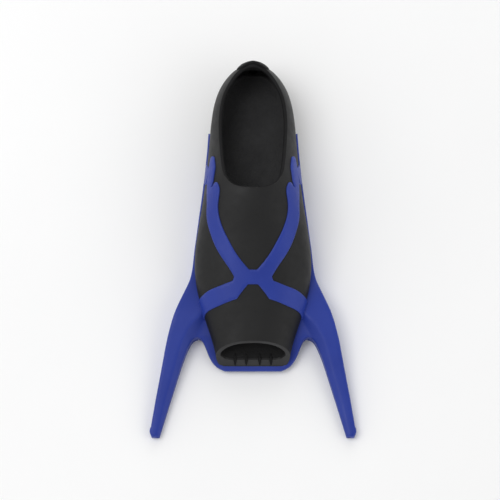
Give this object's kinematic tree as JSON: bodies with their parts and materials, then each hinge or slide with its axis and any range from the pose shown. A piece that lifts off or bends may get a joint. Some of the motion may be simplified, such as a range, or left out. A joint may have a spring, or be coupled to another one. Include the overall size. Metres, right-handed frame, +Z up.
{
  "type": "swim fin foot pocket",
  "caption": "Open-heel-top rubber foot pocket of a modular long-blade swim fin, with a crossed instep harness, a toe frame and two tapering side rails that grip a blade.",
  "frame": {"origin": "on the floor, under the middle of the object's overall box", "axes": "+Y towards the heel, the blade arms point to -Y, +Z up out of the foot opening, X across the foot"},
  "size_m": [0.2046, 0.376, 0.0828],
  "materials": {
    "shoe_rubber": "matte moulded rubber",
    "footbed_rubber": "fine dimpled rubber",
    "tread_rubber": "matte ribbed rubber",
    "blue_plastic": "satin moulded elastomer",
    "screw_steel": "stainless",
    "insert_brass": "machined"
  },
  "bodies": {
    "pocket": {"foot_pocket": "shoe_rubber", "footbed": "footbed_rubber", "sole_plate": "blue_plastic", "x_harness": "blue_plastic", "toe_frame": "blue_plastic", "rail_left": "blue_plastic", "rail_right": "blue_plastic", "bridge_plate": "blue_plastic", "bridge_screw_left": "screw_steel", "bridge_screw_right": "screw_steel", "threaded_insert_front": "insert_brass", "threaded_insert_rear": "insert_brass", "heel_tread": "tread_rubber"},
    "arm_left": {"arm_left": "blue_plastic"},
    "arm_right": {"arm_right": "blue_plastic"},
    "heel_tab": {"heel_pull_tab": "shoe_rubber"}
  },
  "joints": [
    {"name": "arm_left_flex", "type": "hinge", "parent": "pocket", "child": "arm_left", "pos_m": [-0.077, -0.101, 0.0095], "axis": [1, 0, 0], "range_deg": [-25, 25], "stiffness_Nm_per_rad": 8},
    {"name": "arm_right_flex", "type": "hinge", "parent": "pocket", "child": "arm_right", "pos_m": [0.077, -0.101, 0.0095], "axis": [1, 0, 0], "range_deg": [-25, 25], "stiffness_Nm_per_rad": 8},
    {"name": "heel_tab_flex", "type": "hinge", "parent": "pocket", "child": "heel_tab", "pos_m": [0, 0.1836, 0.055], "axis": [-1, 0, 0], "range_deg": [0, 40], "stiffness_Nm_per_rad": 0.1}
  ]
}
